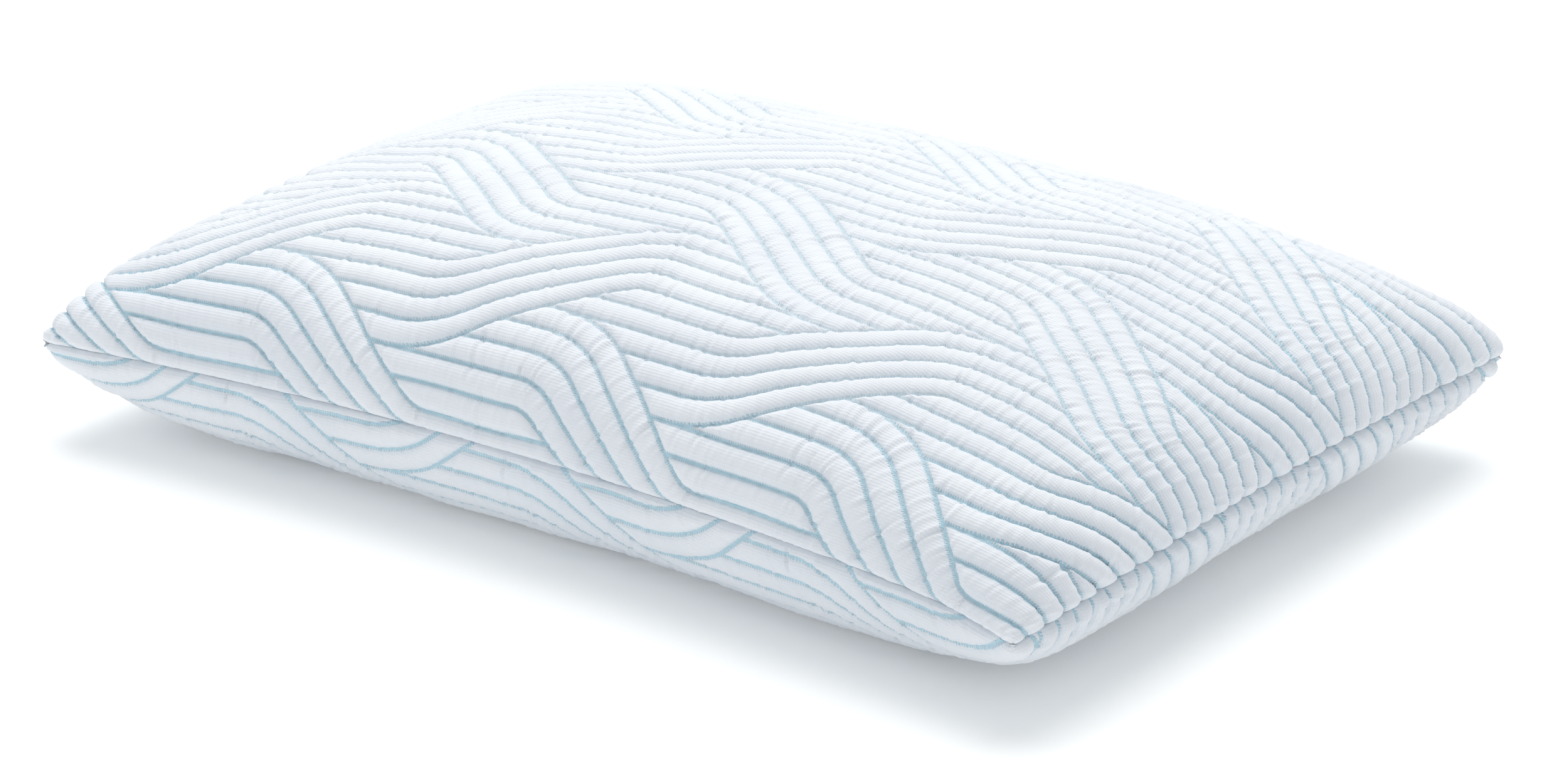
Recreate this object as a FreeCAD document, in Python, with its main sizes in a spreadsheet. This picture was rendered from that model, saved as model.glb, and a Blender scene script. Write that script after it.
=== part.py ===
import FreeCAD, Part
import math
import os

import Sketcher

Vector = FreeCAD.Vector

# ---------------------------------------------------------------- dimensions
# Frame: +X along the long edge, +Y towards the zip edge, +Z up, origin at the
# centre of the face the pillow rests on.
doc = FreeCAD.newDocument("bed_pillow")
sheet = doc.addObject("Spreadsheet::Sheet", "dimensions")

DIMENSIONS = (
    ("half_length", 345.0, "centre to the corners along X"),
    ("half_width", 237.0, "centre to the corners along Y"),
    ("seam_corner_height", 57.0, "seam above the resting face at a corner"),
    ("seam_long_height", 63.4, "seam above the resting face, middle of a long edge"),
    ("seam_short_height", 61.0, "seam above the resting face, middle of a short edge"),
    ("front_pull_in", 20.4, "how far the front edge is drawn in at its middle"),
    ("back_pull_in", 10.0, "how far the zip edge is drawn in"),
    ("side_pull_in", 3.8, "how far a short edge is drawn in at its middle"),
    ("straight_share", 0.64, "share of the half length where the zip edge is straight"),
    ("wall_rise", 58.2, "height of the steep rim of the top panel"),
    ("crown_rise", 35.3, "extra crown of the top panel at its centre"),
    ("belly_drop", 66.0, "depth of the bottom panel under the seam, before it rests"),
    ("rest_blend", 6.0, "softness of the inner layers' change to the flat resting area"),
    ("rest_cut_depth", 20.0, "depth of the block that levels the resting face"),
    ("rest_cut_margin", 20.0, "the same block beyond the outline"),
    ("rim_power_long", 5.7, "fullness of the outline along X"),
    ("rim_power_wide", 5.5, "fullness of the outline along Y"),
    ("top_roundness", 0.40, "roundness exponent of the top rim"),
    ("belly_roundness", 0.47, "roundness exponent of the bottom rim"),
    ("cover_thickness", 8.0, "quilted knit with its wadding"),
    ("case_gap", 2.2, "cover to inner case"),
    ("case_thickness", 1.2, "inner case cloth"),
    ("fill_gap", 2.2, "inner case to fill"),
    ("fill_half_belt", 1.0, "half height of the fill's narrow belt"),
    ("seam_half_gap", 0.9, "half the gap between the panels at the seam"),
    ("allowance_half_thickness", 0.8, "half thickness of the overlocked seam allowance"),
    ("allowance_outer_inset", 1.0, "seam allowance, outer edge inside the seam line"),
    ("allowance_inner_inset", 7.8, "seam allowance, inner edge inside the seam line"),
    ("zip_length", 410.0, "coil length between the stops"),
    ("zip_recess", 4.0, "tape plane inside the edge of the cover"),
    ("zip_end_margin", 8.0, "tape beyond the stops at each end"),
    ("window_half_height", 8.0, "half height of the opening for the zip"),
    ("window_inward", 9.0, "opening for the zip, inside the edge"),
    ("window_outward", 7.0, "cut beyond the edge that makes the opening"),
    ("tape_thickness", 0.8, "woven zip tape"),
    ("tape_inner_edge", 3.0, "tape edge from the zip's centre line"),
    ("tape_outer_edge", 12.0, "sewn tape edge from the zip's centre line"),
    ("tape_slot_clearance", 0.1, "cloth to tape, each side"),
    ("coil_thickness", 2.0, "coil across the tape plane"),
    ("coil_bar_height", 0.8, "stitched bar of the coil"),
    ("coil_pitch", 2.5, "tooth to tooth"),
    ("coil_tooth_width", 1.3, "one tooth along the zip"),
    ("coil_tip", 0.75, "tooth tip from the zip's centre line"),
    ("stop_length", 3.0, "end stops along the zip"),
    ("stop_thickness", 3.8, "end stops across the tape plane"),
    ("slider_length", 9.6, "slider along the zip"),
    ("slider_half_height", 4.6, "slider from the zip's centre line"),
    ("slider_nose_half_height", 3.6, "slider at its leading end"),
    ("slider_tail_half_height", 3.9, "slider at its trailing end"),
    ("slider_plate", 1.2, "slider plate thickness"),
    ("slider_mouth", 1.3, "tape plane to the inside of a plate"),
    ("slider_channel", 3.4, "half height of the channel for the coil"),
    ("slider_lip_gap", 0.7, "tape plane to the edge of a lip"),
    ("slider_post", 0.7, "post between the two plates, across the zip"),
    ("slider_post_length", 3.0, "post between the two plates, along the zip"),
    ("slider_stop_gap", 0.3, "slider to the end stops"),
    ("pin_height", 2.7, "pin centre over the outer plate"),
    ("pin_radius", 0.7, "pin for the pull tab"),
    ("ear_inner", 1.5, "inside face of an ear from the centre line"),
    ("ear_thickness", 0.8, "ear thickness"),
    ("ear_radius", 1.5, "ear radius about the pin"),
    ("knuckle_radius", 1.4, "pull tab eye"),
    ("knuckle_bore", 0.77, "hole in the pull tab eye"),
    ("knuckle_half_width", 1.2, "half width of the eye"),
    ("tab_length", 22.0, "pin to the end of the pull tab"),
    ("tab_half_width", 3.0, "half width of the pull tab"),
    ("tab_thickness", 1.0, "pull tab"),
    ("tab_hole_radius", 1.5, "hole in the pull tab"),
    ("tab_neck_length", 4.5, "narrow neck between the ears"),
    ("tab_neck_half_width", 1.1, "half width of the neck"),
    ("tab_corner", 1.4, "cut corners of the pull tab"),
    ("tab_hole_place", 18.0, "pin to the hole in the pull tab"),
    ("label_width", 30.0, "care label along the short edge"),
    ("label_height", 38.0, "care label below the seam"),
    ("label_thickness", 0.8, "two layers of label cloth"),
    ("label_tuck", 0.7, "label inside the seam line"),
    ("label_stand_off", 1.0, "seam line to the hanging label"),
    ("label_offset", 70.0, "care label centre from the middle of the short edge"),
)

for row, (alias, value, note) in enumerate(DIMENSIONS, start=1):
    sheet.set("A%d" % row, note)
    sheet.set("B%d" % row, "%g" % value)
    sheet.setAlias("B%d" % row, alias)
doc.recompute()


def size(alias):
    """Value of one driving dimension, in millimetres."""
    return float(getattr(sheet, alias))


# -------------------------------------------------------------- soft surfaces
GRID_LONG = 33
GRID_WIDE = 27


def spread(count):
    """Grid values from -1 to 1, closer together near the rim."""
    step = math.pi / (count - 1)
    return [math.sin(-math.pi / 2 + i * step) for i in range(count)]


def edge_profile(s):
    """1 along the straight part of the zip edge, falling to 0 at the corners."""
    start = size("straight_share")
    x = min(max((abs(s) - start) / (1 - start), 0.0), 1.0)
    return 1 - x * x * (3 - 2 * x)


def plan_point(s, t, inset):
    """Plan position of the grid value (s, t) on a layer set in from the cover."""
    half_x = size("half_length")
    half_y = size("half_width")
    side = size("side_pull_in") * (1 - t * t) * abs(s) ** 3
    x = s * (half_x - side) * (half_x - inset) / half_x
    if t < 0:
        pull = size("front_pull_in") * (1 - s * s)
    else:
        pull = size("back_pull_in") * edge_profile(s)
    y = t * (half_y - pull * abs(t) ** 3 - inset)
    return x, y


def seam_height(s, t):
    """Height of the seam surface at the grid value (s, t)."""
    corner = size("seam_corner_height")
    long_rise = size("seam_long_height") - corner
    short_rise = size("seam_short_height") - corner
    along = edge_profile(s) if t > 0 else 1 - s * s
    middle = (long_rise + short_rise) / 2 * (1 - s * s) * (1 - t * t)
    return corner + long_rise * along * t * t + short_rise * (1 - t * t) * s * s + middle


def fullness(s, t):
    """0 on the outline, 1 in the middle of a panel."""
    along = 1 - abs(s) ** size("rim_power_long")
    across = 1 - abs(t) ** size("rim_power_wide")
    return max(along * across, 0.0)


def top_point(s, t, inset, lift):
    """Point of an upper layer, lifted off the seam surface by lift."""
    x, y = plan_point(s, t, inset)
    wall = (size("wall_rise") - inset - lift) * fullness(s, t) ** size("top_roundness")
    crown = size("crown_rise") * (1 - s * s) * (1 - t * t)
    return Vector(x, y, seam_height(s, t) + lift + wall + crown)


def belly_point(s, t, inset, lift):
    """Point of a lower layer, hung off the seam surface by lift, before it is levelled."""
    x, y = plan_point(s, t, inset)
    drop = (size("belly_drop") - lift) * fullness(s, t) ** size("belly_roundness")
    return Vector(x, y, seam_height(s, t) - lift - drop)


def level_belly_point(s, t, inset, lift):
    """Point of an inner lower layer, raised by its inset and smoothly levelled."""
    point = belly_point(s, t, inset, lift)
    blend = size("rest_blend")
    if point.z < -blend:
        point.z = 0.0
    elif point.z < blend:
        point.z = (point.z + blend) ** 2 / (4 * blend)
    point.z += inset * fullness(s, t) ** size("belly_roundness")
    return point


def surface(point, inset, lift):
    """Face through the grid points of one layer."""
    rows = [[point(s, t, inset, lift) for t in spread(GRID_WIDE)] for s in spread(GRID_LONG)]
    patch = Part.BSplineSurface()
    patch.interpolate(rows)
    return patch.toShape()


def side_curves(inset, rise):
    """The four edges of the outline at an inset, raised from the seam."""
    sides = []
    for held, end in (("t", -1.0), ("s", 1.0), ("t", 1.0), ("s", -1.0)):
        points = []
        for value in spread(GRID_LONG if held == "t" else GRID_WIDE):
            s, t = (value, end) if held == "t" else (end, value)
            x, y = plan_point(s, t, inset)
            points.append(Vector(x, y, seam_height(s, t) + rise))
        curve = Part.BSplineCurve()
        curve.interpolate(points)
        sides.append(curve.toShape())
    return sides


def solid_from(faces):
    """Closed solid from faces that share their edges."""
    shell = Part.makeShell(faces)
    shell.sewShape()
    solid = Part.makeSolid(Part.Shell(shell.Faces))
    if solid.Volume < 0:
        solid.reverse()
    return solid


def bridged_solid(first, second):
    """Closed solid from two faces joined along their outlines."""
    strips = []
    for one, other in zip(first.Edges, second.Edges):
        strips.append(Part.makeRuledSurface(one, other))
    return solid_from([first, second] + strips)


def layer_solid(outer_point, inner_point, outer_inset, inner_inset, lift):
    """Curved panel between two layers, closed by a strip along the seam."""
    outer = surface(outer_point, outer_inset, lift)
    return bridged_solid(outer, surface(inner_point, inner_inset, lift))


def full_solid(inset, half_belt):
    """Closed cushion: an upper and a lower layer with a low belt between them."""
    upper = surface(top_point, inset, half_belt)
    lower = surface(level_belly_point, inset, half_belt)
    return bridged_solid(upper, lower)


def strip_solid(outer_inset, inner_inset, half_thickness):
    """Flat strip that follows the whole seam."""
    faces = []
    rings = []
    for inset in (outer_inset, inner_inset):
        for rise in (half_thickness, -half_thickness):
            rings.append(side_curves(inset, rise))
    for first, second in ((0, 1), (2, 3), (0, 2), (1, 3)):
        for one, other in zip(rings[first], rings[second]):
            faces.append(Part.makeRuledSurface(one, other))
    return solid_from(faces)


def shaped(name, shape):
    """Document object that holds a soft solid worked out from the sheet."""
    feature = doc.addObject("Part::Feature", name)
    feature.Shape = shape
    feature.Placement = FreeCAD.Placement()
    return feature


# --------------------------------------------------------------- shared heights
# The zip lies in a plane just inside the straight part of the back edge.
EDGE_Y = "dimensions.half_width - dimensions.back_pull_in"
ZIP_Y = EDGE_Y + " - dimensions.zip_recess"
ZIP_Z = "dimensions.seam_long_height"
COIL_END = "dimensions.zip_length / 2"
SLIDER_X = COIL_END + " - dimensions.slider_stop_gap - dimensions.slider_length / 2"


def bind_place(item, x, y, z):
    """Placement of an object bound to the sheet."""
    item.setExpression("Placement.Base.x", x)
    item.setExpression("Placement.Base.y", y)
    item.setExpression("Placement.Base.z", z)


def box(name, low, high):
    """Box between two corners, each given as three sheet expressions."""
    item = doc.addObject("Part::Box", name)
    for axis, begin, end in zip(("Length", "Width", "Height"), low, high):
        item.setExpression(axis, "(%s) - (%s)" % (end, begin))
    bind_place(item, low[0], low[1], low[2])
    return item


def cut(name, base, tools):
    """Base object with the tool objects taken away one after another."""
    for number, tool in enumerate(tools, start=1):
        last = number == len(tools)
        item = doc.addObject("Part::Cut", name if last else "%s_step_%d" % (name, number))
        item.Base = base
        item.Tool = tool
        base = item
    return base


# The opening in the back edge, and the narrow slots the tape edges are sewn into.
WINDOW_END = COIL_END + " + dimensions.zip_end_margin"


def zip_cutters(prefix):
    """Opening for the zip and the slot for its sewn tape edges."""
    opening = box(
        prefix + "_opening",
        (
            "-(%s)" % WINDOW_END,
            EDGE_Y + " - dimensions.window_inward",
            ZIP_Z + " - dimensions.window_half_height",
        ),
        (
            WINDOW_END,
            EDGE_Y + " + dimensions.window_outward",
            ZIP_Z + " + dimensions.window_half_height",
        ),
    )
    half_slot = "(dimensions.tape_thickness / 2 + dimensions.tape_slot_clearance)"
    reach = "(dimensions.tape_outer_edge + dimensions.tape_slot_clearance)"
    slot = box(
        prefix + "_slot",
        ("-(%s)" % WINDOW_END, ZIP_Y + " - " + half_slot, ZIP_Z + " - " + reach),
        (WINDOW_END, ZIP_Y + " + " + half_slot, ZIP_Z + " + " + reach),
    )
    return [opening, slot]


# The block under the pillow that levels the face it rests on.
REST_X = "(dimensions.half_length + dimensions.rest_cut_margin)"
REST_Y = "(dimensions.half_width + dimensions.rest_cut_margin)"
rest_block = box(
    "rest_block",
    ("-" + REST_X, "-" + REST_Y, "-dimensions.rest_cut_depth"),
    (REST_X, REST_Y, "0"),
)

# ------------------------------------------------------------------ soft pieces
cover = size("cover_thickness")
case_outer = cover + size("case_gap")
case_inner = case_outer + size("case_thickness")
fill_inset = case_inner + size("fill_gap")
gap = size("seam_half_gap")

top_raw = shaped("top_panel_whole", layer_solid(top_point, top_point, 0.0, cover, gap))
bottom_raw = shaped(
    "bottom_panel_whole",
    layer_solid(belly_point, level_belly_point, 0.0, cover, gap),
)
allowance_raw = shaped(
    "seam_allowance_whole",
    strip_solid(
        size("allowance_outer_inset"),
        size("allowance_inner_inset"),
        size("allowance_half_thickness"),
    ),
)

cover_top_panel = cut("cover_top_panel", top_raw, zip_cutters("top"))
cover_bottom_panel = cut("cover_bottom_panel", bottom_raw, zip_cutters("bottom") + [rest_block])
seam_allowance = cut("seam_allowance", allowance_raw, zip_cutters("allowance"))

inner_case_upper = shaped(
    "inner_case_upper",
    layer_solid(top_point, top_point, case_outer, case_inner, gap),
)
inner_case_lower = shaped(
    "inner_case_lower",
    layer_solid(level_belly_point, level_belly_point, case_outer, case_inner, gap),
)
fill_core = shaped("fill_core", full_solid(fill_inset, size("fill_half_belt")))

# ------------------------------------------------------------------- zip tapes
HALF_TAPE = "dimensions.tape_thickness / 2"


def tape(name, low_z, high_z):
    """One woven tape, its inner edge at the coil."""
    return box(
        name,
        ("-(%s)" % WINDOW_END, ZIP_Y + " - " + HALF_TAPE, low_z),
        (WINDOW_END, ZIP_Y + " + " + HALF_TAPE, high_z),
    )


zip_tape_upper = tape(
    "zip_tape_upper",
    ZIP_Z + " + dimensions.tape_inner_edge",
    ZIP_Z + " + dimensions.tape_outer_edge",
)
zip_tape_lower = tape(
    "zip_tape_lower",
    ZIP_Z + " - dimensions.tape_outer_edge",
    ZIP_Z + " - dimensions.tape_inner_edge",
)


# ------------------------------------------------------------- end stops
HALF_STOP = "dimensions.stop_thickness / 2"


def stop(name, low_x, high_x, low_z, high_z):
    """Metal stop clamped beside the coil."""
    return box(
        name,
        (low_x, ZIP_Y + " - " + HALF_STOP, low_z),
        (high_x, ZIP_Y + " + " + HALF_STOP, high_z),
    )


zip_bottom_stop = stop(
    "zip_bottom_stop",
    "-(" + COIL_END + " + dimensions.stop_length)",
    "-(" + COIL_END + ")",
    ZIP_Z + " - dimensions.tape_inner_edge",
    ZIP_Z + " + dimensions.tape_inner_edge",
)
top_stop_pair = [
    stop(
        "zip_top_stop_" + side,
        COIL_END,
        COIL_END + " + dimensions.stop_length",
        ZIP_Z + low,
        ZIP_Z + high,
    )
    for side, low, high in (
        ("upper", " + dimensions.coil_tip", " + dimensions.tape_inner_edge"),
        ("lower", " - dimensions.tape_inner_edge", " - dimensions.coil_tip"),
    )
]
zip_top_stops = doc.addObject("Part::Compound", "zip_top_stops")
zip_top_stops.Links = top_stop_pair


# -------------------------------------------------------------- sketch helpers
def new_body(name, x, y, z):
    """Empty body placed by three sheet expressions."""
    body = doc.addObject("PartDesign::Body", name)
    body.Label = name
    bind_place(body, x, y, z)
    return body


def origin_item(body, role):
    """One of the body's own base planes or axes."""
    return next(item for item in body.Origin.OriginFeatures if item.Role == role)


def new_sketch(body, name, plane, offset=None):
    """Sketch on one of the body's base planes, offset along its normal."""
    sketch = body.newObject("Sketcher::SketchObject", name)
    sketch.AttachmentSupport = (origin_item(body, plane), [""])
    sketch.MapMode = "FlatFace"
    if offset:
        sketch.setExpression("AttachmentOffset.Base.z", offset)
    return sketch


def hold_point(sketch, geometry, point, x, y):
    """Fixes one sketch point at two sheet expressions."""
    for kind, text in (("DistanceX", x), ("DistanceY", y)):
        start = float(sheet.evalExpression(text))
        index = sketch.addConstraint(Sketcher.Constraint(kind, -1, 1, geometry, point, start))
        sketch.setExpression("Constraints[%d]" % index, text)


def add_outline(sketch, corners):
    """Closed outline through corners given as pairs of sheet expressions."""
    first = sketch.GeometryCount
    count = len(corners)
    places = [
        Vector(float(sheet.evalExpression(x)), float(sheet.evalExpression(y)), 0)
        for x, y in corners
    ]
    for i in range(count):
        line = Part.LineSegment(places[i], places[(i + 1) % count])
        sketch.addGeometry(line, False)
    for i in range(count):
        link = Sketcher.Constraint("Coincident", first + i, 2, first + (i + 1) % count, 1)
        sketch.addConstraint(link)
        hold_point(sketch, first + i, 1, corners[i][0], corners[i][1])


def add_rectangle(sketch, low, high):
    """Rectangle between two corners given as pairs of sheet expressions."""
    add_outline(sketch, [low, (high[0], low[1]), high, (low[0], high[1])])


def add_circle(sketch, x, y, radius):
    """Circle with its centre and radius bound to the sheet."""
    centre = Vector(float(sheet.evalExpression(x)), float(sheet.evalExpression(y)), 0)
    start = float(sheet.evalExpression(radius))
    index = sketch.addGeometry(Part.Circle(centre, Vector(0, 0, 1), start), False)
    hold_point(sketch, index, 3, x, y)
    rule = sketch.addConstraint(Sketcher.Constraint("Radius", index, start))
    sketch.setExpression("Constraints[%d]" % rule, radius)


def pad(body, name, sketch, length):
    """Pad grown the same distance to both sides of its sketch."""
    feature = body.newObject("PartDesign::Pad", name)
    feature.Profile = sketch
    feature.SideType = "Symmetric"
    feature.setExpression("Length", length)
    body.Tip = feature
    return feature


def pocket(body, name, sketch, length):
    """Pocket cut the same distance to both sides of its sketch."""
    feature = body.newObject("PartDesign::Pocket", name)
    feature.Profile = sketch
    feature.SideType = "Symmetric"
    feature.setExpression("Length", length)
    body.Tip = feature
    return feature


# -------------------------------------------------------------------- zip coils
def coil(name, sign, shift):
    """One half of the coil: a stitched bar and a row of teeth."""
    body = new_body(name, "0", ZIP_Y, ZIP_Z)
    outer = sign + "dimensions.tape_inner_edge"
    bar = sign + "(dimensions.tape_inner_edge - dimensions.coil_bar_height)"
    tip = sign + "dimensions.coil_tip"
    bar_sketch = new_sketch(body, name + "_bar_sketch", "XZ_Plane")
    add_rectangle(bar_sketch, ("-(" + COIL_END + ")", outer), (COIL_END, bar))
    pad(body, name + "_bar", bar_sketch, "dimensions.coil_thickness")
    tooth_sketch = new_sketch(body, name + "_tooth_sketch", "XZ_Plane")
    start = "-(" + COIL_END + ") + " + shift
    add_rectangle(tooth_sketch, (start, outer), (start + " + dimensions.coil_tooth_width", tip))
    tooth = pad(body, name + "_tooth", tooth_sketch, "dimensions.coil_thickness")
    row = body.newObject("PartDesign::LinearPattern", name + "_row")
    row.Originals = [tooth]
    row.Direction = (origin_item(body, "X_Axis"), [""])
    count = "floor(dimensions.zip_length / dimensions.coil_pitch)"
    row.setExpression("Occurrences", count)
    row.setExpression("Length", "dimensions.coil_pitch * (" + count + " - 1)")
    body.Tip = row
    return body


zip_coil_upper = coil("zip_coil_upper", "", "0")
zip_coil_lower = coil("zip_coil_lower", "-", "dimensions.coil_pitch - dimensions.coil_tooth_width")

# ------------------------------------------------------------------- zip slider
HALF_SLIDER = "dimensions.slider_length / 2"
PLATE_TOP = "(dimensions.slider_mouth + dimensions.slider_plate)"
PIN_Y = "(" + PLATE_TOP + " + dimensions.pin_height)"
CHANNEL = "dimensions.slider_channel"

zip_slider = new_body("zip_slider", SLIDER_X, ZIP_Y, ZIP_Z)

shield = new_sketch(zip_slider, "slider_shield_sketch", "XZ_Plane")
add_outline(shield, [
    (HALF_SLIDER, "-dimensions.slider_nose_half_height"),
    (HALF_SLIDER, "dimensions.slider_nose_half_height"),
    ("dimensions.slider_length / 4", "dimensions.slider_half_height"),
    ("-dimensions.slider_length / 4", "dimensions.slider_half_height"),
    ("-(" + HALF_SLIDER + ")", "dimensions.slider_tail_half_height"),
    ("-(" + HALF_SLIDER + ")", "-dimensions.slider_tail_half_height"),
    ("-dimensions.slider_length / 4", "-dimensions.slider_half_height"),
    ("dimensions.slider_length / 4", "-dimensions.slider_half_height"),
])
pad(zip_slider, "slider_block", shield, "2 * " + PLATE_TOP)

channel = new_sketch(zip_slider, "slider_channel_sketch", "YZ_Plane")
add_rectangle(
    channel,
    ("-dimensions.slider_mouth", "-" + CHANNEL),
    ("dimensions.slider_mouth", CHANNEL),
)
pocket(zip_slider, "slider_channel", channel, "2 * dimensions.slider_length")

side_slots = new_sketch(zip_slider, "slider_slot_sketch", "YZ_Plane")
for sign in ("", "-"):
    add_rectangle(
        side_slots,
        ("-dimensions.slider_lip_gap", sign + "(" + CHANNEL + " - 0.5 * dimensions.slider_lip_gap)"),
        ("dimensions.slider_lip_gap", sign + "2 * dimensions.slider_half_height"),
    )

post = new_sketch(zip_slider, "slider_post_sketch", "XZ_Plane")
add_rectangle(
    post,
    ("-dimensions.slider_post_length / 2", "-dimensions.slider_post / 2"),
    ("dimensions.slider_post_length / 2", "dimensions.slider_post / 2"),
)
pad(zip_slider, "slider_post", post, "2 * " + PLATE_TOP)
pocket(zip_slider, "slider_side_slots", side_slots, "2 * dimensions.slider_length")

EAR_MIDDLE = "dimensions.ear_inner + dimensions.ear_thickness / 2"
for side, place in (("upper", EAR_MIDDLE), ("lower", "-(" + EAR_MIDDLE + ")")):
    stem = new_sketch(zip_slider, "ear_stem_sketch_" + side, "XY_Plane", place)
    add_rectangle(
        stem,
        ("-dimensions.ear_radius", PLATE_TOP + " - dimensions.slider_plate / 2"),
        ("dimensions.ear_radius", PIN_Y),
    )
    pad(zip_slider, "ear_stem_" + side, stem, "dimensions.ear_thickness")
    disc = new_sketch(zip_slider, "ear_disc_sketch_" + side, "XY_Plane", place)
    add_circle(disc, "0", PIN_Y, "dimensions.ear_radius")
    pad(zip_slider, "ear_disc_" + side, disc, "dimensions.ear_thickness")
pin = new_sketch(zip_slider, "pin_sketch", "XY_Plane")
add_circle(pin, "0", PIN_Y, "dimensions.pin_radius")
pad(zip_slider, "pin", pin, "2 * (dimensions.ear_inner + dimensions.ear_thickness / 2)")

# -------------------------------------------------------------------- pull tab
zip_pull_tab = new_body("zip_pull_tab", SLIDER_X, ZIP_Y + " + " + PIN_Y, ZIP_Z)

knuckle = new_sketch(zip_pull_tab, "knuckle_sketch", "XY_Plane")
add_circle(knuckle, "0", "0", "dimensions.knuckle_radius")
pad(zip_pull_tab, "knuckle", knuckle, "2 * dimensions.knuckle_half_width")

leaf = new_sketch(zip_pull_tab, "leaf_sketch", "XZ_Plane")
half_leaf = [
    ("0", "dimensions.tab_neck_half_width"),
    ("-dimensions.tab_neck_length", "dimensions.tab_neck_half_width"),
    ("-(dimensions.tab_neck_length + dimensions.tab_corner)", "dimensions.tab_half_width"),
    ("-(dimensions.tab_length - dimensions.tab_corner)", "dimensions.tab_half_width"),
    ("-dimensions.tab_length", "dimensions.tab_half_width - dimensions.tab_corner"),
]
add_outline(leaf, half_leaf + [(x, "-(" + z + ")") for x, z in reversed(half_leaf)])
pad(zip_pull_tab, "leaf", leaf, "dimensions.tab_thickness")

eye = new_sketch(zip_pull_tab, "eye_sketch", "XY_Plane")
add_circle(eye, "0", "0", "dimensions.knuckle_bore")
pocket(zip_pull_tab, "eye", eye, "4 * dimensions.knuckle_half_width")

hole = new_sketch(zip_pull_tab, "hole_sketch", "XZ_Plane")
add_circle(hole, "-dimensions.tab_hole_place", "0", "dimensions.tab_hole_radius")
pocket(zip_pull_tab, "hole", hole, "4 * dimensions.tab_thickness")

# ------------------------------------------------------------------ care label
# It hangs from the seam of the short edge, a little towards the zip.
LABEL_SHARE = "(dimensions.label_offset / dimensions.half_width)"
LABEL_X = "-(dimensions.half_length - dimensions.side_pull_in * (1 - " + LABEL_SHARE + " ^ 2))"
LABEL_Z = "dimensions.seam_short_height"
care_label = new_body("care_label", LABEL_X, "dimensions.label_offset", LABEL_Z)
fold = new_sketch(care_label, "label_sketch", "XZ_Plane")
HALF_LABEL = "dimensions.label_thickness / 2"
add_outline(fold, [
    ("dimensions.label_tuck", HALF_LABEL),
    ("-(dimensions.label_stand_off + dimensions.label_thickness)", HALF_LABEL),
    ("-(dimensions.label_stand_off + dimensions.label_thickness)", "-dimensions.label_height"),
    ("-dimensions.label_stand_off", "-dimensions.label_height"),
    ("-dimensions.label_stand_off", "-(" + HALF_LABEL + ")"),
    ("dimensions.label_tuck", "-(" + HALF_LABEL + ")"),
])
pad(care_label, "label_cloth", fold, "dimensions.label_width")

# ----------------------------------------------------------------------- export
NODES = (
    cover_top_panel,
    cover_bottom_panel,
    seam_allowance,
    inner_case_upper,
    inner_case_lower,
    fill_core,
    zip_tape_upper,
    zip_tape_lower,
    zip_coil_upper,
    zip_coil_lower,
    zip_top_stops,
    zip_bottom_stop,
    zip_slider,
    zip_pull_tab,
    care_label,
)

doc.recompute()
for item in doc.Objects:
    if "Invalid" in item.State or "Error" in item.State:
        raise RuntimeError("%s did not compute: %s" % (item.Label, item.State))
for node in NODES:
    if node.Shape.isNull() or not node.Shape.isValid():
        raise RuntimeError("%s has no valid shape" % node.Label)

os.makedirs("parts", exist_ok=True)
for node in NODES:
    node.Shape.exportStep("parts/%s.step" % node.Label)
    print("%-20s %10.1f mm3, %d solid(s)" % (node.Label, node.Shape.Volume, len(node.Shape.Solids)))
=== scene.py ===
"""Bed pillow: quilted knit cover with its seam, zip and label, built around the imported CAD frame."""
import math

import bpy
import numpy as np
from mathutils import Matrix, Vector


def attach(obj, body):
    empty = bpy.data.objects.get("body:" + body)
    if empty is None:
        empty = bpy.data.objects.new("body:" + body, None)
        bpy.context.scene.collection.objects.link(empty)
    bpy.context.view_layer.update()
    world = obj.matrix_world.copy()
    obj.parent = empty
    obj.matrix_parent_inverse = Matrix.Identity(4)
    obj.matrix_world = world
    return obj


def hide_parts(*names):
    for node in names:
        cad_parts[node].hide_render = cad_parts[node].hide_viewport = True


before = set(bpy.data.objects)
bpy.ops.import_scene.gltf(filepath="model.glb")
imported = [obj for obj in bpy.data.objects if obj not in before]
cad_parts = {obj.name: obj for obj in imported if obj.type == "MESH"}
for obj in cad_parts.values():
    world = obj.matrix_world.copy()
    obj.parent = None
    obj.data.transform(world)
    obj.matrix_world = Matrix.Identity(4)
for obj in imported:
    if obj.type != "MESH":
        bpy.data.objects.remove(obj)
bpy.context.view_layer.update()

MM = 0.001

# ------------------------------------------------------------------ dimensions
# Millimetres, in the frame of the CAD model: +X along the long edge, +Y towards
# the zip, +Z up, origin under the middle of the pillow.
HALF_LENGTH = 345.0
HALF_WIDTH = 237.0
SEAM_CORNER = 57.0
SEAM_LONG = 63.4
SEAM_SHORT = 61.0
FRONT_PULL = 20.4
BACK_PULL = 10.0
SIDE_PULL = 3.8
STRAIGHT_SHARE = 0.64
CORNER_PULL = 1.0
CORNER_POWER = 26
NEAR_CORNER_PULL = 8.0
NEAR_CORNER_REACH = 3.0
NEAR_CORNER_DROOP = 6.5
NEAR_CORNER_POWER = 9
WALL_RISE = 58.2
CROWN_RISE = 35.3
BELLY_DROP = 66.0
REST_BLEND = 2.0
RIM_POWER_LONG = 5.7
RIM_POWER_WIDE = 5.5
TOP_ROUNDNESS = 0.40
BELLY_ROUNDNESS = 0.47
COVER_INSET = 7.4
CASE_OUTER = 10.4
CASE_INNER = 11.6
FILL_INSET = 13.8

# Flat size of a panel, and the repeat of its quilting.
FLAT_HALF_WIDTH = 250.0
RIB = 14.66
REPEAT_ALONG = 191.4
REPEAT_LEVELS = 12
SLANT = math.radians(37.5)
BEND_RADIUS = 56.0
BAND_DROP = 5
BAND_RIBS = 4
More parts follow.
